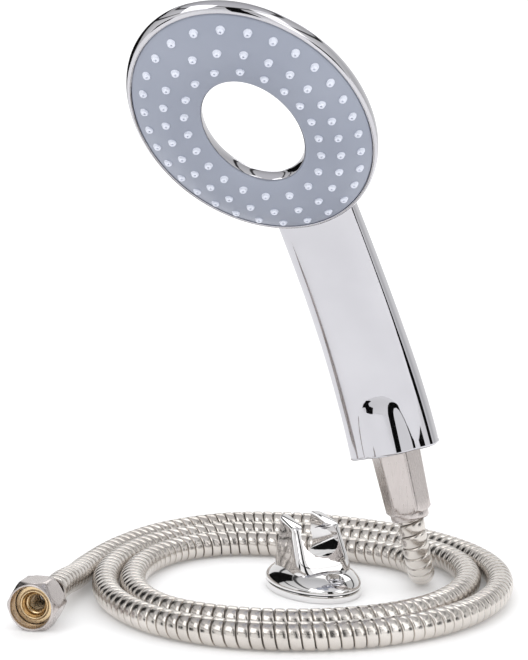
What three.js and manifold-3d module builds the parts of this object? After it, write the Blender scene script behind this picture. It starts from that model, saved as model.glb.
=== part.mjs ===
// Handheld shower head with an oval, open-centred spray ring, its metal hose and its wall bracket.
// Millimetres, +Z up. The floor is z = 0; the hose and the bracket lie on it.
import * as THREE from 'three';
import { mergeVertices } from 'three/addons/utils/BufferGeometryUtils.js';
import Module from 'manifold-3d';

const wasm = await Module();
wasm.setup();

// ---- Driving dimensions -------------------------------------------------------------------------

const GAP = 0.3; // clearance between pieces that touch
const RIGHT_ANGLE = Math.PI / 2;

// How the handset stands: centre of the spray face, and its three turns in degrees.
const HEAD_CENTRE = [-18.8, -43.8, 244.2];
const FACE_YAW = -3.3; // face turned about the vertical
const FACE_DOWN = 45.9; // face tipped down from the horizontal
const HEAD_ROLL = 20.3; // long axis rolled within the face

// Spray ring: an oval annulus. A radius below is always the long half-axis at that place.
const HOLE_LONG = 34.5;
const HOLE_SHORT = 21.2;
const PLATE_LONG = 74;
const PLATE_SHORT = 51.6;
const FACE_CREST = 2.4; // height of the domed face at its highest
const FACE_CREST_AT = 0.38; // where the crest lies, from hole (0) to plate edge (1)
const FACE_DROP = 15.9; // how fast the dome falls away from its crest
const PLATE_THICKNESS = 2.2;
const MAT_THICKNESS = 1.2;
const RING_SIDES = 36;

// Nozzles: three rings, spaced evenly along each oval.
const NOZZLE_RINGS = [
  { at: 0.25, count: 20, phase: 0 },
  { at: 0.53, count: 25, phase: 0.5 },
  { at: 0.82, count: 30, phase: 0 },
];
const NOZZLE_BASE = 2.0;
const NOZZLE_TIP = 1.5;
const NOZZLE_PROUD = 1.4; // how far a tip stands out of the plate
const NOZZLE_HOLE = 2.5;
const NOZZLE_SIDES = 5;

// Handle: centre line in the plane of symmetry, as [along the ring's long axis, along the spray].
const HANDLE_TOP = [-62, -20];
const HANDLE_BEND = [-158, 14];
const HANDLE_END = [-194.6, 55.3];
const HANDLE_WALL = 2.2;
const HANDLE_STATIONS = [
  // share of the centre line, half width, half depth
  [0, 14, 5],
  [0.05, 20.5, 7.6],
  [0.12, 20.6, 8.6],
  [0.3, 20.1, 9.4],
  [0.5, 20.5, 10.1],
  [0.7, 21.5, 10.7],
  [0.85, 22.2, 11.1],
  [1, 22.8, 11.4],
];
const BORE_STATIONS = HANDLE_STATIONS.filter(([share]) => share > 0.1);
const SECTION_SIDES = 20;
const SECTION_SQUARENESS = 0.62; // exponent of the rounded section, 1 is an ellipse

// Inlet at the foot of the handle. Heights are along the hose axis, 0 at the handle's end.
const INLET_ANGLE = 41.5; // hose axis, degrees from the spray direction
const BOSS_RADIUS = 16.3;
const BOSS_LENGTH = 24;
const BOSS_DOME = 17;
const SOCKET_RADIUS = 14.3;
const SOCKET_DEPTH = 21;
const THREAD_RADIUS = 10.4; // G1/2 outside thread
const THREAD_PITCH = 1.814;
const THREAD_TURNS = 7;
const NUT_TOP = -14;
const NUT_END = 32;
const NUT_LIP_END = 36;
const NUT_FLATS_TOP = 23.8;
const NUT_FLATS_END = 20.8;
const NUT_TURN = -7; // degrees, where the nut's corners stop when it is tight

// Hose, lying in loose turns on the floor.
const HOSE_RADIUS = 7;
const HOSE_SIDES = 10;
const HOSE_STEPS = 80;
const FLOOR_HEIGHT = 7.1; // centre line of a hose that lies on the floor
const HOSE_END = [-122, 7, 12.2];
const HOSE_END_YAW = 14; // degrees, from straight towards -Y

// End nut and its stem. Heights are along the hose axis, 0 at the hose's end.
const END_NUT_FLATS = 24;
const END_NUT_BACK = 8;
const END_NUT_FRONT = 26;

// Bracket, lying on its wall face.
const BRACKET_CENTRE = [12, 62, 0];
const BRACKET_YAW = 26;
const BRACKET_PLATE = { halfWidth: 23, halfLength: 33, height: 4 };
const CRADLE_TILT = 20; // cradle axis, degrees from the wall
const CRADLE_CENTRE = [0, -9.3, 30.2];
const CRADLE_MOUTH = 10.6;
const CRADLE_TAIL = 9.1;
const CRADLE_SLOT = 14.6;
const BRACKET_SCREW_AT = 25;

// ---- Finishes -----------------------------------------------------------------------------------

const FINISHES = {
  chrome: { color: 0xd9dbdf, roughness: 0.06, metalness: 1 },
  satinSteel: { color: 0xc3b8ac, roughness: 0.32, metalness: 1 },
  brass: { color: 0xc79a4b, roughness: 0.28, metalness: 1 },
  plateGrey: { color: 0x8a90a3, roughness: 0.42, metalness: 0 },
  silicone: { color: 0xe4e6ee, roughness: 0.55, metalness: 0 },
  whitePlastic: { color: 0xe9e9e6, roughness: 0.5, metalness: 0 },
  rubber: { color: 0x1d1d1f, roughness: 0.8, metalness: 0 },
};

// ---- Shape helpers ------------------------------------------------------------------------------

const radians = THREE.MathUtils.degToRad;

function bare(geometry) {
  const plain = geometry.clone();
  plain.deleteAttribute('normal');
  plain.deleteAttribute('uv');
  return mergeVertices(plain);
}

function signedVolume(geometry) {
  const place = geometry.getAttribute('position');
  const index = geometry.index.array;
  const [a, b, c] = [new THREE.Vector3(), new THREE.Vector3(), new THREE.Vector3()];
  let sum = 0;
  for (let i = 0; i < index.length; i += 3) {
    a.fromBufferAttribute(place, index[i]);
    b.fromBufferAttribute(place, index[i + 1]);
    c.fromBufferAttribute(place, index[i + 2]);
    sum += a.dot(b.cross(c)) / 6;
  }
  return sum;
}

// Drops slivers whose corners merged, and turns the faces outwards.
function closed(geometry) {
  const plain = bare(geometry);
  const old = plain.index.array;
  const kept = [];
  for (let i = 0; i < old.length; i += 3) {
    const [a, b, c] = [old[i], old[i + 1], old[i + 2]];
    if (a !== b && b !== c && c !== a) kept.push(a, b, c);
  }
  plain.setIndex(kept);
  if (signedVolume(plain) < 0) plain.setIndex(kept.reverse());
  return plain;
}

function solid(geometry) {
  const plain = closed(geometry);
  return new wasm.Manifold(
    new wasm.Mesh({
      numProp: 3,
      vertProperties: new Float32Array(plain.getAttribute('position').array),
      triVerts: new Uint32Array(plain.index.array),
    }),
  );
}

function geometryOf(manifold) {
  const mesh = manifold.getMesh();
  const geometry = new THREE.BufferGeometry();
  geometry.setAttribute('position', new THREE.BufferAttribute(mesh.vertProperties, 3));
  geometry.setIndex(new THREE.BufferAttribute(mesh.triVerts, 1));
  return geometry;
}

function shaped(body, cuts = [], joins = []) {
  let result = solid(body);
  for (const piece of joins) result = result.add(solid(piece));
  for (const piece of cuts) result = result.subtract(solid(piece));
  return geometryOf(result);
}

function piece(name, finish, geometry) {
  const shown = closed(geometry);
  shown.computeVertexNormals();
  const mesh = new THREE.Mesh(shown, new THREE.MeshStandardMaterial(FINISHES[finish]));
  mesh.name = name;
  return mesh;
}

// A turned piece about Z. The outline is [radius, height] pairs; it closes on itself.
function turned(outline, sides = 24) {
  const points = [...outline, outline[0]].map(([r, h]) => new THREE.Vector2(r, h));
  return new THREE.LatheGeometry(points, sides).rotateX(RIGHT_ANGLE);
}

// A plain rod or cone frustum about Z between two heights.
function rod(radius, from, to, sides = 24, endRadius = radius) {
  const geometry = new THREE.CylinderGeometry(endRadius, radius, to - from, sides);
  return geometry.rotateX(RIGHT_ANGLE).translate(0, 0, (from + to) / 2);
}

function hexRod(flatsFrom, flatsTo, from, to) {
  const corner = 2 * Math.cos(Math.PI / 6);
  return rod(flatsFrom / corner, from, to, 6, flatsTo / corner).rotateZ(Math.PI / 6);
}

// Joins a stack of closed loops, each a list of points, into one closed body.
function loft(loops) {
  const count = loops[0].length;
  const centres = [loops[0], loops.at(-1)].map((loop) =>
    loop.reduce((sum, p) => sum.add(p), new THREE.Vector3()).divideScalar(count),
  );
  const points = [...loops.flat(), ...centres];
  const index = [];
  const last = (loops.length - 1) * count;
  for (let i = 0; i < count; i += 1) {
    const j = (i + 1) % count;
    for (let row = 0; row < last; row += count) {
      index.push(row + i, row + j, row + count + j, row + i, row + count + j, row + count + i);
    }
    index.push(points.length - 2, j, i, points.length - 1, last + i, last + j);
  }
  const geometry = new THREE.BufferGeometry().setFromPoints(points);
  return geometry.setIndex(index);
}

// One point of a rounded, squarish section.
function sectionPoint(angle, halfWidth, halfDepth, squareness) {
  const soften = (value) => Math.sign(value) * Math.abs(value) ** squareness;
  return [halfWidth * soften(Math.cos(angle)), halfDepth * soften(Math.sin(angle))];
}

function turns(count) {
  return Array.from({ length: count }, (_, i) => (i / count) * 2 * Math.PI);
}

// ---- Spray ring ---------------------------------------------------------------------------------

const across = (radius) => (radius - HOLE_LONG) / (PLATE_LONG - HOLE_LONG);
const shortSemi = (radius) => THREE.MathUtils.lerp(HOLE_SHORT, PLATE_SHORT, across(radius));
const faceHeight = (radius) => FACE_CREST - FACE_DROP * (across(radius) - FACE_CREST_AT) ** 2;
const matTop = (radius) => faceHeight(radius) - PLATE_THICKNESS - GAP;

// Sweeps an outline of [long half-axis, height] pairs round the oval.
function ovalRing(outline) {
  const geometry = turned(outline, RING_SIDES);
  const place = geometry.getAttribute('position');
  for (let i = 0; i < place.count; i += 1) {
    const [x, y] = [place.getX(i), place.getY(i)];
    const radius = Math.hypot(x, y);
    place.setX(i, (shortSemi(radius) * x) / radius);
  }
  return geometry;
}

// Angles that space `count` points evenly along an ellipse, the first near the top of the ring.
function evenSpots(long, short, count, phase) {
  const steps = 720;
  const walk = [0];
  for (let i = 1; i <= steps; i += 1) {
    const [a, b] = [i - 1, i].map((k) => (k / steps) * 2 * Math.PI);
    const dx = short * (Math.sin(b) - Math.sin(a));
    const dy = long * (Math.cos(b) - Math.cos(a));
    walk.push(walk[i - 1] + Math.hypot(dx, dy));
  }
  return Array.from({ length: count }, (_, k) => {
    const target = ((k + phase) / count) * walk[steps];
    const angle = (walk.findIndex((length) => length >= target) / steps) * 2 * Math.PI;
    return [short * Math.sin(angle), long * Math.cos(angle)];
  });
}

function nozzleSpots() {
  return NOZZLE_RINGS.flatMap(({ at, count, phase }) => {
    const long = THREE.MathUtils.lerp(HOLE_LONG, PLATE_LONG, at);
    const height = faceHeight(long);
    return evenSpots(long, shortSemi(long), count, phase).map(([x, y]) => [x, y, height]);
  });
}

function sprayPlate() {
  const top = [36.2, 44, 54, 64, PLATE_LONG].map((r) => [r, faceHeight(r)]);
  const under = [PLATE_LONG, 62, 50, 36.2].map((r) => [r, faceHeight(r) - PLATE_THICKNESS]);
  const reach = PLATE_THICKNESS + 2;
  const holes = nozzleSpots().map(([x, y, z]) =>
    rod(NOZZLE_HOLE, z - reach, z + reach, NOZZLE_SIDES).translate(x, y, 0),
  );
  return piece('spray_plate', 'plateGrey', shaped(ovalRing([...top, ...under]), holes));
}

function nozzleMat() {
  const radii = [36.8, 50, 62, 73];
  const top = radii.map((r) => [r, matTop(r)]);
  const under = radii.toReversed().map((r) => [r, matTop(r) - MAT_THICKNESS]);
  const foot = PLATE_THICKNESS + GAP + MAT_THICKNESS / 2;
  const tips = nozzleSpots().map(([x, y, z]) =>
    rod(NOZZLE_BASE, z - foot, z + NOZZLE_PROUD, NOZZLE_SIDES, NOZZLE_TIP).translate(x, y, 0),
  );
  return piece('nozzle_mat', 'silicone', shaped(ovalRing([...top, ...under]), [], tips));
}

function rimRing() {
  const outline = [[74.3, -3.6], [75.4, -3.0], [76.8, -3.5], [77.5, -5.2], [74.3, -5.2]];
  return piece('rim_ring', 'chrome', ovalRing(outline));
}

function holeRing() {
  const bore = [[35.9, -0.5], [35.2, -0.5], [34.4, -2], [34.2, -4.5], [35.2, -7], [37.5, -8.6]];
  const back = [[37.5, -7], [36.2, -5.8]];
  return piece('hole_ring', 'chrome', ovalRing([...bore, ...back]));
}

// Water comes into the chamber through a spigot that points down the handle.
const SPIGOT = { height: -10.2, radius: 3.0, bore: 2.2, from: 62, to: 87 };

function alongHandle(radius, from, to, height = SPIGOT.height, sides = 12) {
  return rod(radius, from, to, sides).rotateX(RIGHT_ANGLE).translate(0, 0, height);
}

function waterChamber() {
  const outline = [
    [36.7, -3.8], [38.1, -3.6], [38.1, -4.9], [60, -6.9], [71.4, -7.8], [71.6, -7.2],
    [73, -7.9], [73, -9.0], [60, -8.5], [38.5, -6.4], [36.7, -6.2],
  ];
  const spigot = alongHandle(SPIGOT.radius, SPIGOT.from, SPIGOT.to);
  const bore = alongHandle(SPIGOT.bore, SPIGOT.from + 2, SPIGOT.to + 2);
  const port = rod(SPIGOT.bore, SPIGOT.height, -5, 12).translate(0, -SPIGOT.from - 5, 0);
  return piece('water_chamber', 'whitePlastic', shaped(ovalRing(outline), [bore, port], [spigot]));
}

// ---- Handle -------------------------------------------------------------------------------------

const inPlane = ([along, spray]) => new THREE.Vector3(0, along, spray);
const centreLine = new THREE.QuadraticBezierCurve3(
  inPlane(HANDLE_TOP),
  inPlane(HANDLE_BEND),
  inPlane(HANDLE_END),
);

function handleSection(share, halfWidth, halfDepth, push = 0) {
  const ahead = centreLine.getTangent(share);
  const centre = centreLine.getPoint(share).addScaledVector(ahead, push);
  const front = new THREE.Vector3(1, 0, 0).cross(ahead).negate();
  return turns(SECTION_SIDES).map((angle) => {
    const [x, depth] = sectionPoint(angle, halfWidth, halfDepth, SECTION_SQUARENESS);
    return new THREE.Vector3(x, 0, 0).addScaledVector(front, depth).add(centre);
  });
}

function handleBody() {
  return loft(HANDLE_STATIONS.map(([share, wide, deep]) => handleSection(share, wide, deep)));
}

function handleBore() {
  const thinner = ([share, wide, deep], push = 0) =>
    handleSection(share, wide - HANDLE_WALL, deep - HANDLE_WALL, push);
  const loops = BORE_STATIONS.map((station) => thinner(station));
  return loft([...loops, thinner(BORE_STATIONS.at(-1), 5)]);
}

// Puts something drawn about the hose axis at the foot of the handle.
function atInlet(thing) {
  const turn = new THREE.Matrix4().makeRotationX(radians(INLET_ANGLE));
  const place = new THREE.Matrix4().makeTranslation(0, ...HANDLE_END).multiply(turn);
  return thing.applyMatrix4(place);
}

function inletBoss() {
  const dome = [80, 65, 50, 35, 20].map((degrees) => [
    BOSS_RADIUS * Math.cos(radians(degrees)),
    -BOSS_LENGTH - BOSS_DOME * Math.sin(radians(degrees)),
  ]);
  const side = [[BOSS_RADIUS, -BOSS_LENGTH], [BOSS_RADIUS, 0], [0, 0]];
  return atInlet(turned([[0, -BOSS_LENGTH - BOSS_DOME], ...dome, ...side]));
}

// The whole chromed back: ring and handle are one moulding, open at the face and at the foot.
function rearShell() {
  const back = [
    [37.9, -7], [37.9, -8.9], [44, -12], [52, -14], [60, -14.5], [68, -13.8], [74, -11.8],
    [77, -8.3], [77.4, -5.5],
  ];
  const inside = [
    [75.2, -5.5], [74.9, -8], [72.5, -10], [67, -11.8], [60, -12.4], [52, -11.9], [45, -10],
    [40, -7],
  ];
  const mouth = 8;
  const cavity = ovalRing([[37, -7], [37, mouth], [75.2, mouth], ...inside]);
  const socket = atInlet(rod(SOCKET_RADIUS, -SOCKET_DEPTH, 5));
  const stubRoom = atInlet(rod(10.2, -38, -SOCKET_DEPTH + 1));
  const spigotRoom = alongHandle(SPIGOT.radius + 0.6, SPIGOT.from - 3, 94);
  const cuts = [cavity, handleBore(), socket, stubRoom, spigotRoom];
  const outer = ovalRing([...back, [75.2, -5.5], [60, -9], [40, -7]]);
  return piece('rear_shell', 'chrome', shaped(outer, cuts, [handleBody(), inletBoss()]));
}

function waterTube() {
  const upper = [0.17, 0.3, 0.45, 0.6].map((share) => centreLine.getPoint(share));
  const lower = [-32, -22].map((height) => atInlet(new THREE.Vector3(0, 0, height)));
  const path = new THREE.CatmullRomCurve3([...upper, ...lower]);
  const wall = new THREE.Shape().absarc(0, 0, 5, 0, 2 * Math.PI);
  wall.holes.push(new THREE.Path().absarc(0, 0, 3.8, 0, 2 * Math.PI));
  const options = { steps: 12, curveSegments: 5, bevelEnabled: false, extrudePath: path };
  return piece('water_tube', 'whitePlastic', new THREE.ExtrudeGeometry(wall, options));
}

function spigotSeal() {
  const ring = turned([[3.4, 88], [5.2, 88], [5.2, 89], [3.4, 89]], 16);
  return piece('spigot_seal', 'rubber', ring.rotateX(RIGHT_ANGLE).translate(0, 0, SPIGOT.height));
}

// ---- Inlet and cone nut, drawn about the hose axis ----------------------------------------------

function threadOutline(radius, from) {
  const depth = 0.6;
  return Array.from({ length: THREAD_TURNS }, (_, i) => from + i * THREAD_PITCH).flatMap((h) => [
    [radius - depth, h],
    [radius, h + THREAD_PITCH / 2],
  ]);
}

function inletStub() {
  const cup = [[7.4, -21], [7.4, -31], [9.6, -31], [9.6, -20.7], [13.2, -20.7], [13.2, -17.7]];
  const thread = threadOutline(THREAD_RADIUS, -17.4);
  const bore = [[9.4, -3], [6.8, -3], [6.8, -12], [4.2, -12], [4.2, -21]];
  return piece('inlet_stub', 'brass', turned([...cup, [9.8, -17.7], ...thread, ...bore], 14));
}

function tubeSeal() {
  return piece('tube_seal', 'rubber', turned([[5.4, -27], [7.1, -27], [7.1, -25.4], [5.4, -25.4]]));
}

function flowRegulator() {
  const outline = [[2, -11.7], [6.5, -11.7], [6.5, -6.5], [5, -6.5], [5, -9], [2, -9]];
  return piece('flow_regulator', 'whitePlastic', turned(outline, 16));
}

function hoseWasher() {
  const outline = [[5.5, -2.7], [9.6, -2.7], [9.6, -0.6], [5.5, -0.6]];
  return piece('hose_washer', 'rubber', turned(outline, 20));
}

function hoseStem() {
  const flange = [[4.2, -0.3], [9.4, -0.3], [9.4, 1.6], [7.2, 1.6]];
  const tail = [[7.2, 8.4], [5.6, 8.4], [5.6, 19], [4.2, 19]];
  return piece('hose_stem', 'brass', turned([...flange, ...tail], 20));
}

function hoseFerrule() {
  const outline = [[5.9, 8.7], [7.5, 8.7], [7.5, 19.4], [5.9, 19.4]];
  return piece('hose_ferrule', 'satinSteel', turned(outline, 20));
}

function slipRing() {
  const outline = [[7.95, 1.9], [9.9, 1.9], [9.9, 3.6], [7.95, 3.6]];
  return piece('slip_ring', 'whitePlastic', turned(outline, 20));
}

function coneNut() {
  const outline = [[10.7, NUT_TOP - 2], [10.7, 3.9], [8.3, 3.9], [8.3, NUT_LIP_END + 2]];
  const bore = turned([[0, NUT_TOP - 2], ...outline, [0, NUT_LIP_END + 2]]);
  const lip = turned([[0, NUT_END - 3], [10, NUT_END - 3], [10, NUT_END + 1.5],
    [9.2, NUT_LIP_END], [0, NUT_LIP_END]]);
  const hex = hexRod(NUT_FLATS_TOP, NUT_FLATS_END, NUT_TOP, NUT_END).rotateZ(radians(NUT_TURN));
  return piece('cone_nut', 'satinSteel', shaped(hex, [bore], [lip]));
}

function inletGroup() {
  const group = new THREE.Group();
  group.position.set(0, ...HANDLE_END);
  group.rotation.x = radians(INLET_ANGLE);
  group.add(inletStub(), tubeSeal(), flowRegulator(), hoseWasher());
  group.add(hoseStem(), hoseFerrule(), slipRing(), coneNut());
  return group;
}

function handset() {
  const stand = new THREE.Matrix4()
    .makeRotationZ(radians(FACE_YAW))
    .multiply(new THREE.Matrix4().makeRotationX(radians(90 + FACE_DOWN)))
    .multiply(new THREE.Matrix4().makeRotationZ(radians(HEAD_ROLL)));
  const group = new THREE.Group();
  group.add(rearShell(), rimRing(), holeRing(), sprayPlate(), nozzleMat(), waterChamber());
  group.add(spigotSeal(), waterTube(), inletGroup());
  group.setRotationFromMatrix(stand);
  group.position.set(...HEAD_CENTRE);
  return group;
}

// ---- Hose ---------------------------------------------------------------------------------------

// Centre line from the cone nut, down to the floor and out through two and a half loose turns.
const HOSE_DROP = [
  [58.2, 43.1, 58.0], [60, 42.3, 50.2], [61.8, 41.6, 42.5], [64, 42.3, 31.5],
  [66.4, 46.5, 20.6], [68.6, 54.8, 12.3], [69.8, 65, 8.2],
];
const HOSE_TURNS = [
  [70, 76], [67, 90], [57, 103], [42, 113], [21, 122], [-5, 129], [-33, 131], [-59, 119],
  [-76, 94], [-83, 61], [-79, 28], [-63, -2], [-35, -20], [1, -27], [38, -20], [68, -1],
  [87, 29], [94, 63], [88, 95], [67, 124], [35, 144], [-2, 154], [-41, 151], [-73, 130],
  [-92, 95], [-97.5, 55], [-90, 14], [-67, -22], [-33, -43], [6, -48.5], [46, -40],
  [81, -16], [103, 19], [110, 59], [102, 98], [79, 134], [45, 161], [5, 177], [-35, 177],
  [-72, 154], [-96, 117], [-109, 80],
];
const HOSE_TAIL = [[-113.5, 53, 8.8], [-117.6, 31, 11.4], [-120, 15, 12.2]];

function hoseRoute() {
  const flat = HOSE_TURNS.map(([x, y]) => [x, y, FLOOR_HEIGHT]);
  const points = [...HOSE_DROP, ...flat, ...HOSE_TAIL, HOSE_END].map((p) => new THREE.Vector3(...p));
  return new THREE.CatmullRomCurve3(points);
}

function hose() {
  const section = new THREE.Shape(
    turns(HOSE_SIDES).map((a) => new THREE.Vector2(Math.cos(a), Math.sin(a)).multiplyScalar(HOSE_RADIUS)),
  );
  const options = { steps: HOSE_STEPS, bevelEnabled: false, extrudePath: hoseRoute() };
  return piece('hose', 'satinSteel', new THREE.ExtrudeGeometry(section, options));
}

function endFerrule() {
  const outline = [[5.9, GAP], [7.8, GAP], [7.8, 12], [5.9, 12]];
  return piece('end_ferrule', 'satinSteel', turned(outline, 20));
}

function endStem() {
  const tail = [[4.2, 1], [5.6, 1], [5.6, 12.3], [7.4, 12.3], [7.4, 17.7]];
  const face = [[9.6, 17.7], [9.6, 20.2], [7, 20.2], [7, 21.6], [4.2, 21.6]];
  return piece('end_stem', 'brass', turned([...tail, ...face], 20));
}

function endNut() {
  const bore = turned([
    [0, END_NUT_BACK - 2], [8.3, END_NUT_BACK - 2], [8.3, 17.3], [10.5, 17.3],
    [10.5, END_NUT_FRONT + 2], [0, END_NUT_FRONT + 2],
  ]);
  const hex = hexRod(END_NUT_FLATS, END_NUT_FLATS, END_NUT_BACK, END_NUT_FRONT);
  return piece('end_nut', 'satinSteel', shaped(hex, [bore]));
}

function hoseEnd() {
  const group = new THREE.Group();
  group.add(endFerrule(), endStem(), endNut());
  group.position.set(...HOSE_END);
  group.rotation.set(RIGHT_ANGLE, 0, -radians(HOSE_END_YAW), 'ZXY');
  return group;
}

// ---- Bracket ------------------------------------------------------------------------------------

function ovalLoop(halfWidth, halfLength, height, shift = 0, squareness = 1) {
  return turns(SECTION_SIDES * 2).map((angle) => {
    const [x, y] = sectionPoint(angle, halfWidth, halfLength, squareness);
    return new THREE.Vector3(x, y + shift, height);
  });
}

function screwHoles(radius, from, to) {
  return [-1, 1].map((side) => rod(radius, from, to, 12).translate(0, side * BRACKET_SCREW_AT, 0));
}

function bracketPlate() {
  const { halfWidth, halfLength, height } = BRACKET_PLATE;
  const body = loft([ovalLoop(halfWidth, halfLength, 0), ovalLoop(halfWidth, halfLength, height)]);
  return piece('bracket_plate', 'chrome', shaped(body, screwHoles(2.5, -1, height + 1)));
}

function bracketBody() {
  const { halfWidth, halfLength, height } = BRACKET_PLATE;
  const body = loft([
    ovalLoop(halfWidth, halfLength, height + GAP),
    ovalLoop(halfWidth - 0.6, halfLength - 0.8, 6.5),
    ovalLoop(19.5, 25, 10.5, 0, 0.9),
    ovalLoop(16.5, 18, 14, 0, 0.75),
    ovalLoop(14.8, 14.6, 25, 3, 0.65),
    ovalLoop(13.8, 11, 36.4, 6, 0.6),
  ]);
  const lean = (shape) => shape.rotateX(radians(90 - CRADLE_TILT)).translate(...CRADLE_CENTRE);
  const cone = lean(rod(CRADLE_TAIL, -40, 20, 24, CRADLE_MOUTH + 1));
  const slot = lean(new THREE.BoxGeometry(CRADLE_SLOT, 40, 70).translate(0, 20, -10));
  const cuts = [cone, slot, ...screwHoles(2.5, 0, 10), ...screwHoles(5, 7, 20)];
  return piece('bracket_body', 'chrome', shaped(body, cuts));
}

function bracketScrew(name, side) {
  const outline = [[0, 0.4], [2, 0.4], [2, 7.3], [4.4, 7.3], [4.2, 8.6], [2.6, 9.6], [0, 9.6]];
  const slots = [0, 1].map((k) => new THREE.BoxGeometry(4.6, 0.9, 1.6).rotateZ(k * RIGHT_ANGLE));
  const cross = slots.map((slot) => slot.translate(0, 0, 9.4));
  const screw = piece(name, 'chrome', shaped(turned(outline, 16), cross));
  screw.position.y = side * BRACKET_SCREW_AT;
  return screw;
}

function bracket() {
  const group = new THREE.Group();
  group.add(bracketPlate(), bracketBody());
  group.add(bracketScrew('bracket_screw_lower', -1), bracketScrew('bracket_screw_upper', 1));
  group.position.set(...BRACKET_CENTRE);
  group.rotation.z = radians(BRACKET_YAW);
  return group;
}

// ---- The set ------------------------------------------------------------------------------------

const showerSet = new THREE.Group();
showerSet.add(handset(), hose(), hoseEnd(), bracket());

export default showerSet;
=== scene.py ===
"""Looks of the handheld shower head, its hose and its wall bracket. Drawn in millimetres, built in metres."""

import math

import bmesh
import bpy
import numpy as np
from mathutils import Euler, Matrix, Vector


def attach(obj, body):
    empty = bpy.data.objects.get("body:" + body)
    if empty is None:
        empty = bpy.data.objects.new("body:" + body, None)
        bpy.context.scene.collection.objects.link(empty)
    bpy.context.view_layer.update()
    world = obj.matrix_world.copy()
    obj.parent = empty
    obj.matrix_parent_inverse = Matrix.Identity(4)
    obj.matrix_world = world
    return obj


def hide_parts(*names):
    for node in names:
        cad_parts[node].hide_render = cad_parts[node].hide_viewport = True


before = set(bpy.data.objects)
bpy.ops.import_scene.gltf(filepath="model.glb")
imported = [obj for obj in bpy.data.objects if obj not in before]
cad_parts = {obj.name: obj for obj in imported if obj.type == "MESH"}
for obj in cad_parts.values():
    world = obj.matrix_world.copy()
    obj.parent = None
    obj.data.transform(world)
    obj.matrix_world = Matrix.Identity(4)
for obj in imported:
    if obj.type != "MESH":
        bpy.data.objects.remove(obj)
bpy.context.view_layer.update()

MM = 0.001

# ---- Camera --------------------------------------------------------------------------------------

CAMERA_PLACE = Vector((-0.014, -0.921, 0.2714))
CAMERA_DOWN = 7.7  # degrees below the horizon
CAMERA_LENS = 103.64
SENSOR_WIDTH = 36

# ---- Where the pieces stand ----------------------------------------------------------------------

HEAD_CENTRE = (-18.8, -43.8, 244.2)
FACE_YAW, FACE_DOWN, HEAD_ROLL = -3.3, 45.9, 20.3
HANDLE_END = (0, -194.6, 55.3)
INLET_ANGLE = 41.5
HOSE_END = (-122, 7, 12.2)
HOSE_END_YAW = 14
BRACKET_CENTRE = (12, 62, 0)
BRACKET_YAW = 26


def turn(axis, degrees):
    return Matrix.Rotation(math.radians(degrees), 4, axis)


def shift(*place):
    return Matrix.Translation(Vector(place))


HANDSET = shift(*HEAD_CENTRE) @ turn("Z", FACE_YAW) @ turn("X", 90 + FACE_DOWN) @ turn("Z", HEAD_ROLL)
INLET = HANDSET @ shift(*HANDLE_END) @ turn("X", INLET_ANGLE)
FREE_END = shift(*HOSE_END) @ turn("Z", -HOSE_END_YAW) @ turn("X", 90)
BRACKET = shift(*BRACKET_CENTRE) @ turn("Z", BRACKET_YAW)

# ---- Materials -----------------------------------------------------------------------------------


def shader(name, colour, metallic, roughness):
    """A new material; returns it with its nodes, links and principled shader."""
    made = bpy.data.materials.new(name)
    made.use_nodes = True
    principled = made.node_tree.nodes["Principled BSDF"]
    principled.inputs["Base Color"].default_value = (*colour, 1)
    principled.inputs["Metallic"].default_value = metallic
    principled.inputs["Roughness"].default_value = roughness
    return made, made.node_tree, principled


def noise(tree, scale, detail=3.0, stretch=(1, 1, 1)):
    place = tree.nodes.new("ShaderNodeTexCoord")
    mapping = tree.nodes.new("ShaderNodeMapping")
    texture = tree.nodes.new("ShaderNodeTexNoise")
    mapping.inputs["Scale"].default_value = stretch
    texture.inputs["Scale"].default_value = scale
    texture.inputs["Detail"].default_value = detail
    tree.links.new(place.outputs["Object"], mapping.inputs["Vector"])
    tree.links.new(mapping.outputs["Vector"], texture.inputs["Vector"])
    return texture.outputs["Fac"]


def spread(tree, source, low, high, socket):
    """Drives a number from low to high by the source."""
    ranged = tree.nodes.new("ShaderNodeMapRange")
    ranged.inputs["From Min"].default_value = 0.3
    ranged.inputs["From Max"].default_value = 0.7
    ranged.inputs["To Min"].default_value = low
    ranged.inputs["To Max"].default_value = high
    tree.links.new(source, ranged.inputs["Value"])
    tree.links.new(ranged.outputs["Result"], socket)


def tint(tree, source, dark, light, socket):
    """Drives a colour between two shades by the source."""
    ramp = tree.nodes.new("ShaderNodeValToRGB")
    ramp.color_ramp.elements[0].position = 0.3
    ramp.color_ramp.elements[1].position = 0.7
    ramp.color_ramp.elements[0].color = (*dark, 1)
    ramp.color_ramp.elements[1].color = (*light, 1)
    tree.links.new(source, ramp.inputs["Fac"])
    tree.links.new(ramp.outputs["Color"], socket)


def bump(tree, source, depth, principled):
    lift = tree.nodes.new("ShaderNodeBump")
    lift.inputs["Strength"].default_value = 1.0
    lift.inputs["Distance"].default_value = depth
    tree.links.new(source, lift.inputs["Height"])
    tree.links.new(lift.outputs["Normal"], principled.inputs["Normal"])


SMUDGE_SCALE = 26
FINE_DETAIL = 4.0


def finish_of(name, dark, light, metallic, rough, grain, depth, stretch=(1, 1, 1)):
    """A surface whose colour, roughness and relief vary with one fine grain."""
    made, tree, principled = shader(name, light, metallic, rough[0])
    smudges = noise(tree, SMUDGE_SCALE)
    tint(tree, smudges, dark, light, principled.inputs["Base Color"])
    fine = noise(tree, grain, FINE_DETAIL, stretch)
    spread(tree, fine, rough[0], rough[1], principled.inputs["Roughness"])
    bump(tree, fine, depth, principled)
    return made


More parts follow.
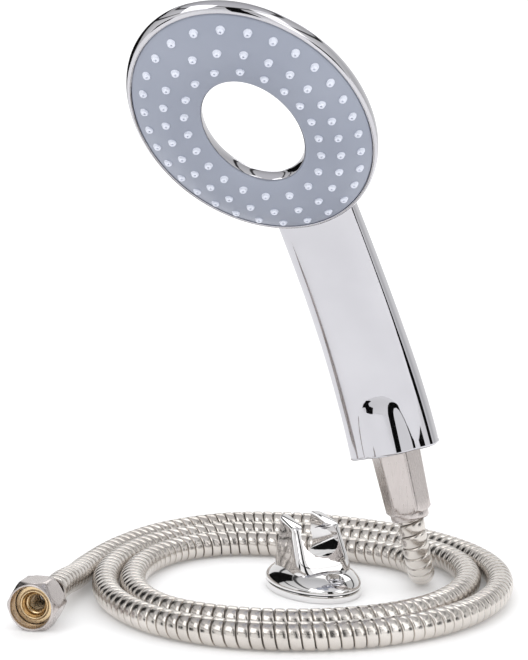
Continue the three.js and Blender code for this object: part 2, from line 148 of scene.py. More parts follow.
# Two shades, metallic, roughness from and to, scale and depth of the grain, and how the grain is stretched.
FINISHES = {
    "chrome": ((0.56, 0.555, 0.585), (0.61, 0.605, 0.635), 1, (0.03, 0.06), 420, 0.000002),
    "bracket_chrome": ((0.76, 0.75, 0.75), (0.84, 0.83, 0.83), 1, (0.04, 0.08), 420, 0.000002),
    "steel": ((0.56, 0.515, 0.5), (0.62, 0.575, 0.56), 1, (0.22, 0.3), 900, 0.000004, (1, 1, 0.12)),
    "jacket": ((0.62, 0.58, 0.54), (0.76, 0.72, 0.68), 1, (0.16, 0.27), 700, 0.00001),
    # The groove material: near-black steel on the floor of each groove between the ribs, painted shade for
    # the groove's own shadow.
    "jacket_groove_shade": ((0.07, 0.065, 0.06), (0.12, 0.11, 0.1), 1, (0.35, 0.5), 700, 0.00001),
    "brass": ((0.7, 0.52, 0.3), (0.82, 0.65, 0.42), 1, (0.18, 0.32), 800, 0.00001, (1, 1, 0.2)),
    "plate": ((0.268, 0.292, 0.36), (0.298, 0.322, 0.39), 0.1, (0.36, 0.44), 1600, 0.00002),
    "silicone": ((0.64, 0.67, 0.76), (0.71, 0.74, 0.83), 0, (0.3, 0.42), 1200, 0.00002),
    "plastic": ((0.74, 0.74, 0.72), (0.82, 0.82, 0.8), 0, (0.4, 0.52), 900, 0.00002),
    "rubber": ((0.014, 0.014, 0.015), (0.03, 0.03, 0.032), 0, (0.6, 0.8), 900, 0.00003),
}
MATERIALS = {name: finish_of(name, *finish) for name, finish in FINISHES.items()}

# ---- Mesh helpers --------------------------------------------------------------------------------

SHARP_ANGLE = math.radians(38)


def skin(rows, around=True, along=False, start=0):
    """Quads between rows of equally many points.

    around joins the two ends of each row, and along joins the first and the last row.
    """
    count = len(rows[0])
    faces = []
    for i in range(len(rows) if along else len(rows) - 1):
        a = start + i * count
        b = start + ((i + 1) % len(rows)) * count
        for j in range(count if around else count - 1):
            k = (j + 1) % count
            faces.append((a + j, a + k, b + k, b + j))
    return faces


def cap(rows):
    """One face over the first row and one over the last."""
    count = len(rows[0])
    last = (len(rows) - 1) * count
    return [tuple(range(count - 1, -1, -1)), tuple(range(last, last + count))]


def placed_mesh(name, points, faces, place):
    """A mesh in metres, from points in millimetres that the matrix place moves."""
    mesh = bpy.data.meshes.new(name)
    co = np.array(points, float).reshape(-1, 3)
    matrix = np.array(place)
    co = (co @ matrix[:3, :3].T + matrix[:3, 3]) * MM
    mesh.from_pydata(co.tolist(), [], faces)
    return mesh


def mesh_piece(name, points, faces, place, body, slot, *materials):
    """A smooth mesh with sharp edges kept, riding on a body. Points are in millimetres, before place."""
    mesh = placed_mesh(name, points, faces, place)
    mesh.validate()
    for material in materials:
        mesh.materials.append(MATERIALS[material])
    return settle(bpy.data.objects.new(name, mesh), body)


def settle(piece, body):
    if piece.name not in bpy.context.scene.collection.objects:
        bpy.context.scene.collection.objects.link(piece)
    outward(piece.data)
    piece.data.shade_smooth()
    piece.data.set_sharp_from_angle(angle=SHARP_ANGLE)
    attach(piece, body)
    return piece


def outward(mesh):
    work = bmesh.new()
    work.from_mesh(mesh)
    bmesh.ops.recalc_face_normals(work, faces=work.faces)
    work.to_mesh(mesh)
    work.free()


def circle(count, phase=0.0):
    angles = np.arange(count) / count * 2 * math.pi + phase
    return np.stack([np.cos(angles), np.sin(angles)], 1)


def lathe_rows(outline, sides):
    ring = circle(sides)
    return [np.column_stack([ring * radius, np.full(sides, height)]) for radius, height in outline]


def lathe(name, outline, place, body, slot, material, sides=64):
    """A turned piece. Its outline of (radius, height) pairs closes on itself."""
    rows = lathe_rows(outline, sides)
    return mesh_piece(name, rows, skin(rows, along=True), place, body, slot, material)


def rounded(points, radius, steps=3):
    """A closed outline with its corners rounded."""
    made = []
    count = len(points)
    for i, corner in enumerate(points):
        corner = np.array(corner, float)
        ends = []
        for other in (points[i - 1], points[(i + 1) % count]):
            way = np.array(other, float) - corner
            length = np.linalg.norm(way)
            ends.append(corner + way / length * min(radius, length * 0.45))
        for k in range(steps + 1):
            t = k / steps
            made.append((1 - t) ** 2 * ends[0] + 2 * t * (1 - t) * corner + t**2 * ends[1])
    return made


def smooth_line(points, steps):
    """A centripetal Catmull-Rom curve through the points."""
    p = np.array(points, float)
    p = np.vstack([2 * p[0] - p[1], p, 2 * p[-1] - p[-2]])
    made = []
    for i in range(1, len(p) - 2):
        gaps = [max(np.linalg.norm(p[i + k] - p[i + k - 1]) ** 0.5, 1e-4) for k in (0, 1, 2)]
        start = (p[i] - p[i - 1]) / gaps[0] - (p[i + 1] - p[i - 1]) / (gaps[0] + gaps[1])
        start = (start + (p[i + 1] - p[i]) / gaps[1]) * gaps[1]
        end = (p[i + 1] - p[i]) / gaps[1] - (p[i + 2] - p[i]) / (gaps[1] + gaps[2])
        end = (end + (p[i + 2] - p[i + 1]) / gaps[2]) * gaps[1]
        for t in np.arange(steps) / steps:
            rise = 3 * t**2 - 2 * t**3
            pull = (t**3 - 2 * t**2 + t) * start + (t**3 - t**2) * end
            made.append((1 - rise) * p[i] + rise * p[i + 1] + pull)
    made.append(p[-2])
    return np.array(made)


# ---- Hose ----------------------------------------------------------------------------------------

HOSE_DROP = [
    (58.2, 43.1, 58.0), (60, 42.3, 50.2), (61.8, 41.6, 42.5), (64, 42.3, 31.5),
    (66.4, 46.5, 20.6), (68.6, 54.8, 12.3), (69.8, 65, 8.2),
]
HOSE_TURNS = [
    (70, 76), (67, 90), (57, 103), (42, 113), (21, 122), (-5, 129), (-33, 131), (-59, 119),
    (-76, 94), (-83, 61), (-79, 28), (-63, -2), (-35, -20), (1, -27), (38, -20), (68, -1),
    (87, 29), (94, 63), (88, 95), (67, 124), (35, 144), (-2, 154), (-41, 151), (-73, 130),
    (-92, 95), (-97.5, 55), (-90, 14), (-67, -22), (-33, -43), (6, -48.5), (46, -40),
    (81, -16), (103, 19), (110, 59), (102, 98), (79, 134), (45, 161), (5, 177), (-35, 177),
    (-72, 154), (-96, 117), (-109, 80),
]
HOSE_TAIL = [(-113.5, 53, 8.8), (-117.6, 31, 11.4), (-120, 15, 12.2)]
FLOOR_HEIGHT = 7.1
RIB_PITCH = 5.9
HOSE_SIDES = 26

# One rib of the wound jacket: share of the pitch, radius.
RIB = [
    (0.0, 5.9), (0.05, 6.62), (0.1, 6.86), (0.2, 6.98), (0.55, 7.0), (0.84, 6.9), (0.91, 6.62), (0.94, 5.9),
]
SHADED_GROOVE_ROW = len(RIB) - 1  # the row of a rib at the floor of its groove, which gets near-black steel as painted shade


def hose_route():
    flat = [(x, y, FLOOR_HEIGHT) for x, y in HOSE_TURNS]
    return smooth_line([*HOSE_DROP, *flat, *HOSE_TAIL, HOSE_END], 24)


def carried_frames(points):
    """Two directions across the line at every point, carried along it without twist."""
    ahead = np.gradient(points, axis=0)
    ahead /= np.linalg.norm(ahead, axis=1)[:, None]
    side = np.cross(ahead[0], (0, 0, 1.0))
    sides = []
    for way in ahead:
        side = side - way * side.dot(way)
        side = side / np.linalg.norm(side)
        sides.append(side)
    sides = np.array(sides)
    return sides, np.cross(ahead, sides)


def make_hose():
    route = hose_route()
    steps = np.linalg.norm(np.diff(route, axis=0), axis=1)
    walk = np.concatenate([[0], np.cumsum(steps)])
    across, up = carried_frames(route)
    ring = circle(HOSE_SIDES)
    lag = np.arange(HOSE_SIDES) / HOSE_SIDES
    ribs = int(walk[-1] / RIB_PITCH) - 1
    rows = []
    for rib in range(ribs):
        for share, radius in RIB:
            reach = (rib + share + lag) * RIB_PITCH
            place = np.column_stack([np.interp(reach, walk, route[:, k]) for k in range(3)])
            a = np.column_stack([np.interp(reach, walk, across[:, k]) for k in range(3)])
            b = np.column_stack([np.interp(reach, walk, up[:, k]) for k in range(3)])
            rows.append(place + radius * (a * ring[:, :1] + b * ring[:, 1:]))
    faces = skin(rows, around=False)
    per_rib = len(RIB)
    for i in range(len(rows) - 1 - per_rib):
        a = i * HOSE_SIDES + HOSE_SIDES - 1
        b = (i + per_rib) * HOSE_SIDES
        faces.append((a, b, b + HOSE_SIDES, a + HOSE_SIDES))
    # The second material is painted shade for the floors of the grooves.
    materials = ("jacket", "jacket_groove_shade")
    hose = mesh_piece("hose_jacket", rows, faces, Matrix(), "handset", "hose_jacket", *materials)
    paint_groove_shade(hose)
    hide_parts("hose")
    return hose, route * MM


# Paints the floor of every groove near-black: painted shade, not a colour of the steel.
def paint_groove_shade(hose):
    for face in hose.data.polygons:
        row = min(face.vertices) // HOSE_SIDES
        if row % len(RIB) == SHADED_GROOVE_ROW:
            face.material_index = 1


# ---- Spray ring ----------------------------------------------------------------------------------

HOLE_LONG, HOLE_SHORT = 34.5, 21.2
PLATE_LONG, PLATE_SHORT = 74, 51.6
FACE_CREST, FACE_CREST_AT, FACE_DROP = 2.4, 0.38, 15.9
RING_SIDES = 192
NOZZLE_RINGS = [(0.25, 20, 0), (0.53, 25, 0.5), (0.82, 30, 0)]  # share across, count, phase


def share_across(radius):
    return (radius - HOLE_LONG) / (PLATE_LONG - HOLE_LONG)


def short_semi(radius):
    return HOLE_SHORT + (PLATE_SHORT - HOLE_SHORT) * share_across(radius)


def face_height(radius):
    return FACE_CREST - FACE_DROP * (share_across(radius) - FACE_CREST_AT) ** 2


def oval_rows(outline):
    ring = circle(RING_SIDES)
    rows = []
    for radius, height in outline:
        x, y = ring[:, 0] * short_semi(radius), ring[:, 1] * radius
        rows.append(np.column_stack([x, y, np.full(RING_SIDES, height)]))
    return rows


def oval_piece(name, outline, slot, material):
    rows = oval_rows(outline)
    return mesh_piece(name, rows, skin(rows, along=True), HANDSET, "handset", slot, material)


def make_ring_shell():
    lip = [(73.98, -5.4), (74.0, -3.9), (74.2, -3.45), (74.7, -3.25)]
    rim = smooth_line([(75.3, -3.3), (76.3, -4.1), (77, -5.6), (77.3, -7.4), (76.9, -9.2), (75.8, -10.6)], 5)
    back = smooth_line([(74.3, -11.6), (68, -13.6), (60, -14.4), (52, -14.0), (44, -11.9), (39.8, -9.3)], 6)
    bore = smooth_line([(38.3, -8.5), (36.4, -7.6), (35, -6), (34.4, -4.2), (34.3, -2.4), (34.45, -0.9)], 5)
    top = [(34.62, -0.35), (34.8, -0.35), (34.85, -4.5)]
    outline = [*lip, *map(tuple, rim), *map(tuple, back), *map(tuple, bore), *top]
    return oval_piece("ring_shell", outline, "chromed_shell", "chrome")


def make_plate():
    top = [(r, face_height(r)) for r in np.linspace(35.5, 73.2, 24)]
    inner = [(35.0, -2.5), (35.03, -0.3), (35.15, 0.1)]
    outer = [(73.6, face_height(73.6) - 0.08), (73.8, face_height(73.7) - 0.35), (73.84, -5.5)]
    plate = oval_piece("spray_face", [*inner, *top, *outer], "plate_grey", "plate")
    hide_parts("spray_plate")
    return plate


def even_spots(long, short, count, phase):
    """Points evenly spaced along an oval, the first near the top of the ring."""
    angles = np.linspace(0, 2 * math.pi, 1441)
    line = np.column_stack([short * np.sin(angles), long * np.cos(angles)])
    walk = np.concatenate([[0], np.cumsum(np.linalg.norm(np.diff(line, axis=0), axis=1))])
    at = (np.arange(count) + phase) / count * walk[-1]
    return np.column_stack([np.interp(at, walk, line[:, k]) for k in (0, 1)])


# Outline of one nozzle: radius, height above the face.
NOZZLE = [
    (2.1, -1.2), (2.1, -0.2), (1.95, 0.06), (1.82, 0.14), (1.76, 0.4), (1.7, 0.85), (1.52, 1.2),
    (1.2, 1.42), (0.85, 1.48), (0.55, 1.4), (0.44, 1.15), (0.42, 0.2), (0.02, 0.15),
]


def make_nozzles():
    rows_of_one = lathe_rows(NOZZLE, 18)
    points, faces = [], []
    for at, count, phase in NOZZLE_RINGS:
        long = HOLE_LONG + (PLATE_LONG - HOLE_LONG) * at
        for x, y in even_spots(long, short_semi(long), count, phase):
            faces += skin(rows_of_one, start=sum(map(len, points)))
            points += [row + (x, y, face_height(long)) for row in rows_of_one]
    points = np.vstack(points)
    nozzles = mesh_piece("nozzle_tips", points, faces, HANDSET, "handset", "nozzle_silicone", "silicone")
    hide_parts("nozzle_mat")
    return nozzles


# ---- Handle --------------------------------------------------------------------------------------

HANDLE_TOP = np.array((-62.0, -20.0))
HANDLE_BEND = np.array((-158.0, 14.0))
HANDLE_FOOT = np.array(HANDLE_END[1:])
HANDLE_STATIONS = [
    # share of the centre line, half width, half depth
    (0, 14, 5), (0.05, 20.5, 7.6), (0.12, 20.6, 8.6), (0.3, 21, 9.4),
    (0.5, 21.6, 10.1), (0.7, 22.5, 10.7), (0.85, 23, 11.1), (1, 23.4, 11.4),
]
SECTION_POWER = 3.4
CORNER_CROWDING = 0.66  # draws the section's points towards its corners
HANDLE_ROWS = 90
HANDLE_SIDES = 128
BOSS_RADIUS, BOSS_LENGTH, BOSS_DOME = 16.8, 24, 18
BLEND = 0.55  # how softly the boss runs into the handle

# The socket in the handle's foot: radius, and place along the handle from its foot.
SOCKET = [(14.9, 0.0), (14.4, -0.3), (14.3, -1.0), (14.3, -20.7), (10.3, -20.7), (10.3, -28)]


def handle_centre(t):
    return (1 - t) ** 2 * HANDLE_TOP + 2 * t * (1 - t) * HANDLE_BEND + t**2 * HANDLE_FOOT


def handle_ahead(t):
    way = 2 * (1 - t) * (HANDLE_BEND - HANDLE_TOP) + 2 * t * (HANDLE_FOOT - HANDLE_BEND)
    return way / np.linalg.norm(way)


def handle_size(t):
    shares = [s for s, _, _ in HANDLE_STATIONS]
    return [np.interp(t, shares, [row[k] for row in HANDLE_STATIONS]) for k in (1, 2)]


def section_angles(wide, deep):
    ring = circle(HANDLE_SIDES)
    soft = np.sign(ring) * np.abs(ring) ** CORNER_CROWDING
    return np.arctan2(soft[:, 1] * deep, soft[:, 0] * wide)


def boss_radius(height):
    """Radius of the boss at a height along the hose axis, 0 at the handle's end."""
    past = (-height - BOSS_LENGTH) / BOSS_DOME
    return BOSS_RADIUS * math.sqrt(max(0.0, 1 - max(0.0, past) ** 2))


def boss_reach(angles, offset, radius):
    """Distance from the handle's centre line to the boss in each direction."""
    side = offset * np.cos(angles)
    inside = np.clip(radius**2 - side**2, 0, None)
    reach = offset * np.sin(angles) + np.sqrt(inside)
    return np.where(inside > 0, np.clip(reach, 0, None), 0)


def handle_reach(t, angles):
    """Distance from the centre line to the surface, with the boss blended in."""
    wide, deep = handle_size(t)
    across = np.abs(np.cos(angles) / wide) ** SECTION_POWER
    through = np.abs(np.sin(angles) / deep) ** SECTION_POWER
    body = (across + through) ** (-1 / SECTION_POWER)
    away = handle_centre(t) - HANDLE_FOOT
    foot_ahead = handle_ahead(1)
    front = np.array((foot_ahead[1], -foot_ahead[0]))
    height, offset = away.dot(foot_ahead), away.dot(front)
    radius = boss_radius(height)
    if radius <= abs(offset) * 0.2:
        return body
    boss = boss_reach(angles, -offset, radius)
    return BLEND * np.log(np.exp(body / BLEND) + np.exp(boss / BLEND))


def handle_row(t, angles, reach, push=0.0):
    ahead = handle_ahead(t)
    centre = handle_centre(t) + ahead * push
    front = np.array((ahead[1], -ahead[0]))
    depth = reach * np.sin(angles)
    along = centre[0] + depth * front[0]
    spray = centre[1] + depth * front[1]
    return np.column_stack([reach * np.cos(angles), along, spray])


def make_handle():
    rows = []
    for inset, push in ((4.6, -2.6), (2.4, -2.0), (0.9, -1.0)):
        angles = section_angles(*handle_size(0))
        rows.append(handle_row(0, angles, handle_reach(0, angles) - inset, push))
    for t in np.linspace(0, 1, HANDLE_ROWS):
        angles = section_angles(*handle_size(t))
        rows.append(handle_row(t, angles, handle_reach(t, angles), -1.2 if t == 1 else 0.0))
    angles = section_angles(*handle_size(1))
    edge = handle_reach(1, angles)
    for inset, push in ((0.12, -0.6), (0.5, -0.15), (1.0, 0.0)):
        rows.append(handle_row(1, angles, edge - inset, push))
    for radius, push in SOCKET:
        rows.append(handle_row(1, angles, np.full(HANDLE_SIDES, radius), push))
    faces = [*skin(rows), cap(rows)[0]]
    return mesh_piece("handle_shell", rows, faces, HANDSET, "handset", "chromed_shell", "chrome")


def make_handset():
    ring = make_ring_shell()
    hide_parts("rear_shell", "rim_ring", "hole_ring")
    make_plate()
    make_nozzles()
    make_handle()


# ---- Nuts ----------------------------------------------------------------------------------------

CONE_NUT_TURN = 53  # degrees to a corner, from the handset's width
END_NUT_FLATS = 24
HEX_SIDES = 96
CORNER_LIMIT = 1.135  # how far a corner reaches, in halves of the width across flats


def hex_row(flats, height, phase=0.0, limit=None):
    """A hexagon with slightly rounded corners, no further out than limit."""
    ring = circle(HEX_SIDES)
    angles = np.arctan2(ring[:, 1], ring[:, 0]) - math.radians(phase)
    to_flat = (angles + math.pi / 6) % (math.pi / 3) - math.pi / 6
    to_middle = math.pi / 6 - np.abs(to_flat)
    reach = flats / 2 / np.cos(to_middle)
    reach = np.minimum(reach, flats / 2 * CORNER_LIMIT)
    if limit is not None:
        reach = np.minimum(reach, limit)
    return np.column_stack([ring * reach[:, None], np.full(HEX_SIDES, height)])


def plain_row(radius, height):
    return np.column_stack([circle(HEX_SIDES) * radius, np.full(HEX_SIDES, height)])


def make_cone_nut():
    start, end, top_flats, end_flats = -14, 32, 23.8, 20.8
    slope = (end_flats - top_flats) / (end - start)
    rows = [plain_row(10.8, -10), plain_row(10.8, start), hex_row(23.4, start, CONE_NUT_TURN, 12.6)]
    for height in np.linspace(-13.4, 31, 12):
        rows.append(hex_row(top_flats + slope * (height - start), height, CONE_NUT_TURN))
    for flats, height, limit in ((20.6, 31.7, 10.9), (20.4, 32.2, 10.3)):
        rows.append(hex_row(flats, height, CONE_NUT_TURN, limit))
    collar = [(9.9, 32.5), (9.95, 34.6), (9.7, 35.4), (9.2, 35.9), (8.6, 36), (8.3, 35.6), (8.3, 12)]
    rows += [plain_row(radius, height) for radius, height in collar]
    nut = mesh_piece("cone_nut_body", rows, skin(rows), INLET, "cone_nut", "satin_nut", "steel")
    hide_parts("cone_nut")
    return nut


def make_end_nut():
    neck = [(8.3, 13), (8.3, 8.3), (8.7, 8), (10.2, 8)]
    rows = [plain_row(radius, height) for radius, height in neck]
    chamfers = [(8.7, 11.3), (9.8, 12.4), (11.2, None), (22.6, None), (23.8, 12.9), (24.6, 12.1)]
    rows += [hex_row(END_NUT_FLATS, height, limit=limit) for height, limit in chamfers]
    lip = [(11.85, 25.2), (11.6, 25.8), (11.2, 26), (10.8, 25.9), (10.55, 25.5)]
    thread = [(10.5 - 0.45 * (k % 2), 24.9 - k * 0.9) for k in range(9)]
    rows += [plain_row(radius, height) for radius, height in [*lip, *thread, (10.5, 17.3), (8.3, 17.3)]]
    nut = mesh_piece("end_nut_body", rows, skin(rows), FREE_END, "end_nut", "satin_nut", "steel")
    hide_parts("end_nut")
    return nut


def make_end_stem():
    shank = [(4.2, 1), (5.6, 1), (5.6, 12.3), (7.4, 12.3), (7.4, 17.7)]
    flange = [(9.6, 17.7), (9.6, 20.2), (7.6, 20.2), (7.2, 21.0), (6.6, 21.0), (6.2, 20.0)]
    mouth = [(5.6, 19.2), (5.2, 17.6), (4.4, 17.2), (4.2, 15)]
    outline = rounded([*shank, *flange, *mouth], 0.35)
    stem = lathe("end_stem_body", outline, FREE_END, "handset", "brass", "brass")
    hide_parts("end_stem")
    return stem


def make_end_ferrule():
    outline = rounded([(5.9, 0.3), (7.8, 0.3), (7.8, 12), (5.9, 12)], 0.5)
    ferrule = lathe("end_ferrule_body", outline, FREE_END, "handset", "satin_nut", "steel")
    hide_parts("end_ferrule")
    return ferrule


# ---- Bracket -------------------------------------------------------------------------------------

BASE_WIDE, BASE_LONG = 23.0, 33.0
CRADLE_TILT = 20
CRADLE_CENTRE = (0, -9.3, 30.2)
CRADLE_MOUTH, CRADLE_TAIL, CRADLE_SLOT = 10.6, 9.1, 14.6
SCREW_AT = 25
BRACKET_SIDES = 128
EDGE_ROUNDING = 0.8
BEVEL_FROM = math.radians(40)


def oval_loop(wide, long, height, y=0.0, power=1.0):
    ring = circle(BRACKET_SIDES)
    soft = np.sign(ring) * np.abs(ring) ** power
    return np.column_stack([soft[:, 0] * wide, soft[:, 1] * long + y, np.full(BRACKET_SIDES, height)])


def bracket_piece(name, rows):
    faces = [*skin(rows), *cap(rows)]
    return mesh_piece(name, rows, faces, BRACKET, "bracket", "chromed_bracket", "bracket_chrome")


def make_bracket_plate():
    edge = [(1.2, 0), (0.35, 0.15), (0, 0.7), (0, 3.3), (0.2, 3.85), (0.8, 4)]
    rows = [oval_loop(BASE_WIDE - d, BASE_LONG - d, h) for d, h in edge]
    plate = bracket_piece("bracket_base", rows)
    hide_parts("bracket_plate")
    return plate


DOME_LEVELS = [
    # half width, half length, height
    (21.6, 31.6, 4.3), (22.7, 32.7, 4.32), (23, 33, 4.7), (22.8, 32.7, 6.2), (21.6, 30.4, 8.4),
    (19.4, 26.6, 10.6), (16, 21, 12.4), (11, 14, 13.6), (5, 6, 14.1),
]
TOWER_LEVELS = [
    # half width, front, back, height, squareness (1 oval, 0 square)
    (19, -18.5, 24, 7, 0.8), (17.8, -17.8, 22.5, 10, 0.6), (16.8, -16.6, 21, 13.6, 0.42),
    (16, -15, 19.8, 17, 0.32), (15.4, -12.4, 18.6, 21.4, 0.3), (14.8, -9.6, 17.6, 26.2, 0.3),
    (14.3, -6.8, 16.9, 31, 0.3), (14.1, -5.2, 16.6, 33.8, 0.3), (13.7, -4.5, 16.2, 34.5, 0.3),
]
TOP_RISE = 0.16  # how much the horns rise towards the back


def dome_rows():
    return [oval_loop(*level) for level in smooth_line(DOME_LEVELS, 4)]


def tower_rows():
    rows = []
    for wide, front, back, height, square in smooth_line(TOWER_LEVELS, 4):
        row = oval_loop(wide, (back - front) / 2, height, (front + back) / 2, square)
        narrow = np.interp(row[:, 1], (front, back), (1, 0.88))
        row[:, 0] *= narrow
        row[:, 2] += (row[:, 1] - front) * TOP_RISE * np.clip((height - 14) / 20, 0, 1)
        rows.append(row)
    return rows


def cutter(name, rows, place):
    """A closed tool for carve, not yet part of any piece."""
    mesh = placed_mesh(name, rows, [*skin(rows), *cap(rows)], place)
    outward(mesh)
    made = bpy.data.objects.new(name, mesh)
    bpy.context.scene.collection.objects.link(made)
    return made


def carve(piece, tools, joins=(), edge=0.0):
    """Adds the joins to the piece, cuts the tools out of it and rounds the edges that this leaves."""
    tools = [*joins, *tools]
    for tool in tools:
        cut = piece.modifiers.new(tool.name, "BOOLEAN")
        cut.operation = "UNION" if tool in joins else "DIFFERENCE"
        cut.solver = "EXACT"
        cut.object = tool
    if edge:
        soften = piece.modifiers.new("edges", "BEVEL")
        soften.width = edge * MM
        soften.segments = 3
        soften.limit_method = "ANGLE"
        soften.angle_limit = BEVEL_FROM
    bpy.context.view_layer.update()
    shown = piece.evaluated_get(bpy.context.evaluated_depsgraph_get())
    mesh = bpy.data.meshes.new_from_object(shown)
    piece.modifiers.clear()
    piece.data = mesh
    for tool in tools:
        bpy.data.objects.remove(tool)
    mesh.shade_smooth()
    mesh.set_sharp_from_angle(angle=SHARP_ANGLE)


def slot_rows():
    half = CRADLE_SLOT / 2
    corners = [(-half, 0), (half, 0), (half, 40), (-half, 40)]
    return [np.array([(x, y, z) for x, y in corners], float) for z in (-45, 25)]


def make_bracket_body():
    lean = BRACKET @ shift(*CRADLE_CENTRE) @ turn("X", 90 - CRADLE_TILT)
    cone = lathe_rows([(CRADLE_TAIL, -40), (CRADLE_MOUTH + 1, 20)], 96)
    tools = [cutter("cone", cone, lean), cutter("slot", slot_rows(), lean)]
    for side in (-1, 1):
        seat = lathe_rows([(5, 7), (5, 20)], 48)
        tools.append(cutter("seat", seat, BRACKET @ shift(0, side * SCREW_AT, 0)))
    rows = dome_rows()
    body = bracket_piece("bracket_cradle", rows)
    carve(body, tools, [cutter("tower", tower_rows(), BRACKET)], EDGE_ROUNDING)
    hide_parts("bracket_body")
    return body


def make_screw(name, side):
    place = BRACKET @ shift(0, side * SCREW_AT, 0)
    shank = [(0.01, 0.4), (2, 0.4), (2, 7.3)]
    head = [(4.4, 7.3), (4.4, 7.9), (4.1, 8.7), (3.2, 9.35), (1.8, 9.6), (0.01, 9.65)]
    screw = lathe(f"{name}_body", [*shank, *head], place, "bracket", "screw_chrome", "chrome", 48)
    corners = [(-2.3, -0.45), (2.3, -0.45), (2.3, 0.45), (-2.3, 0.45)]
    arm = [np.array([(x, y, z) for x, y in corners]) for z in (8, 11)]
    tools = [cutter("cross", arm, place @ turn("Z", degrees)) for degrees in (35, 125)]
    carve(screw, tools)
    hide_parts(name)
    return screw


# ---- Carried-over pieces -------------------------------------------------------------------------

KEPT = {
    "water_chamber": "plastic",
    "spigot_seal": "rubber",
    "water_tube": "plastic",
    "inlet_stub": "brass",
    "tube_seal": "rubber",
    "flow_regulator": "plastic",
    "hose_washer": "rubber",
    "hose_stem": "brass",
    "hose_ferrule": "steel",
    "slip_ring": "plastic",
}


def dress_kept():
    for name, material in KEPT.items():
        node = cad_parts[name]
        node.data.materials.clear()
        node.data.materials.append(MATERIALS[material])


# ---- Stage ---------------------------------------------------------------------------------------


def make_camera():
    data = bpy.data.cameras.new("camera")
    data.lens = CAMERA_LENS
    data.sensor_width = SENSOR_WIDTH
    camera = bpy.data.objects.new("camera", data)
    camera.location = CAMERA_PLACE
    camera.rotation_euler = Euler((math.radians(90 - CAMERA_DOWN), 0, 0))
    bpy.context.scene.collection.objects.link(camera)
    bpy.context.scene.camera = camera


def area_light(name, place, aim, size, power):
    data = bpy.data.lights.new(name, "AREA")
    data.shape = "RECTANGLE"
    data.size, data.size_y = size
    data.energy = power
    light = bpy.data.objects.new(name, data)
    light.location = place
    way = Vector(aim) - Vector(place)
    light.rotation_euler = way.to_track_quat("-Z", "Y").to_euler()
    bpy.context.scene.collection.objects.link(light)


FLOOR_SIDE, FLOOR_BACK = 3, 1.3
FLOOR_GLOW = 0.12


def make_floor():
    made, tree, principled = shader("floor", (0.93, 0.93, 0.93), 0, 0.7)
    tint(tree, noise(tree, 3), (0.92, 0.92, 0.92), (0.95, 0.95, 0.95), principled.inputs["Base Color"])
    mesh = bpy.data.meshes.new("floor")
    side, back = FLOOR_SIDE, FLOOR_BACK
    corners = [(-side, -side, 0), (side, -side, 0), (side, back, 0), (-side, back, 0)]
    mesh.from_pydata(corners, [], [(0, 1, 2, 3)])
    principled.inputs["Emission Color"].default_value = (1, 1, 1, 1)
    principled.inputs["Emission Strength"].default_value = FLOOR_GLOW
    mesh.materials.append(made)
    floor = bpy.data.objects.new("floor", mesh)
    floor.location.z = -0.0002
    bpy.context.scene.collection.objects.link(floor)


SKY_STRENGTH = 1.3

# Depth in the studio (0 in front, 1 behind) and grey: how its walls look in polished metal.
WALL_GREYS = [(0, 0.8), (0.45, 0.7), (0.72, 0.5), (1, 0.72)]

# Height on the sky (0 horizon, 1 overhead) and grey: two dark bands that polished metal picks up.
SKY_BANDS = [
    (0.44, 0.95), (0.46, 0.06), (0.5, 0.06), (0.52, 0.9),
    (0.72, 0.85), (0.74, 0.08), (0.78, 0.08), (0.8, 0.85),
]


def wall_shade(tree, split):
    """Grey of the studio's walls, from front to back."""
    aside = tree.nodes.new("ShaderNodeMapRange")
    aside.inputs["From Min"].default_value = -1
    tree.links.new(split.outputs["Y"], aside.inputs["Value"])
    walls = tree.nodes.new("ShaderNodeValToRGB")
    tree.links.new(aside.outputs["Result"], walls.inputs["Fac"])
    stops = walls.color_ramp.elements
    for depth, _ in WALL_GREYS[1:-1]:
        stops.new(depth)
    for (depth, grey), stop in zip(WALL_GREYS, stops):
        stop.position, stop.color = depth, (grey, grey, grey, 1)
    return walls.outputs["Color"]


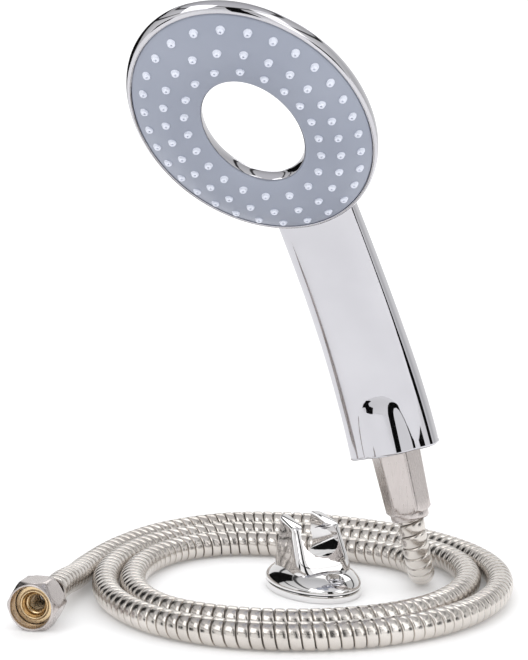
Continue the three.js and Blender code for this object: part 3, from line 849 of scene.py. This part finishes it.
def make_world():
    world = bpy.data.worlds.new("studio")
    world.use_nodes = True
    tree = world.node_tree
    place = tree.nodes.new("ShaderNodeTexCoord")
    split = tree.nodes.new("ShaderNodeSeparateXYZ")
    ramp = tree.nodes.new("ShaderNodeValToRGB")
    tree.links.new(place.outputs["Generated"], split.inputs["Vector"])
    tree.links.new(split.outputs["Z"], ramp.inputs["Fac"])
    elements = ramp.color_ramp.elements
    elements[0].position, elements[0].color = 0.1, (1, 1, 1, 1)
    elements[1].position, elements[1].color = 0.9, (0.8, 0.8, 0.82, 1)
    for height, grey in SKY_BANDS:
        elements.new(height).color = (grey, grey, grey, 1)
    seen = tree.nodes.new("ShaderNodeLightPath")
    mix = tree.nodes.new("ShaderNodeMix")
    mix.data_type, mix.blend_type = "RGBA", "MULTIPLY"
    tree.links.new(seen.outputs["Is Glossy Ray"], mix.inputs["Factor"])
    tree.links.new(ramp.outputs["Color"], mix.inputs["A"])
    tree.links.new(wall_shade(tree, split), mix.inputs["B"])
    tree.links.new(mix.outputs["Result"], tree.nodes["Background"].inputs["Color"])
    tree.nodes["Background"].inputs["Strength"].default_value = SKY_STRENGTH
    bpy.context.scene.world = world


# Dark cards round the set, seen only in polished metal: bearing from the camera's side and its spread
# in degrees, distance, and height of the top.
CARDS = [(12, 20, 1.15, 1.5), (72, 30, 1.1, 0.35), (-132, 34, 1.3, 1.3), (-62, 26, 1.1, 0.35)]


def make_cards():
    black, _, principled = shader("card", (0.004, 0.004, 0.004), 0, 0.9)
    principled.inputs["Specular IOR Level"].default_value = 0
    for bearing, span, far, top in CARDS:
        corners = []
        for side in (-0.5, 0.5):
            angle = math.radians(bearing + side * span)
            corners.append((far * math.sin(angle), -far * math.cos(angle)))
        (ax, ay), (bx, by) = corners
        mesh = bpy.data.meshes.new("card")
        outline = [(ax, ay, 0), (bx, by, 0), (bx, by, top), (ax, ay, top)]
        mesh.from_pydata(outline, [], [(0, 1, 2, 3)])
        mesh.materials.append(black)
        card = bpy.data.objects.new("card", mesh)
        card.visible_camera = card.visible_diffuse = card.visible_shadow = False
        bpy.context.scene.collection.objects.link(card)


def make_lights():
    area_light("key", (-0.7, -0.9, 1.3), (0, 0, 0.15), (0.9, 0.9), 4)
    area_light("fill", (0.9, -0.6, 0.8), (0, 0, 0.15), (0.5, 1.2), 2)
    area_light("back", (0.2, 1.2, 1.1), (0, 0, 0.15), (1.2, 0.6), 3)


# ---- The scene -----------------------------------------------------------------------------------

make_camera()
hose, hose_path = make_hose()
end_pieces = [make_end_nut(), make_end_stem(), make_end_ferrule()]
make_handset()
make_cone_nut()
make_bracket_plate()
make_bracket_body()
make_screw("bracket_screw_lower", -1)
make_screw("bracket_screw_upper", 1)
dress_kept()
make_floor()
make_world()
make_cards()
make_lights()
bpy.context.scene.view_settings.view_transform = "Standard"
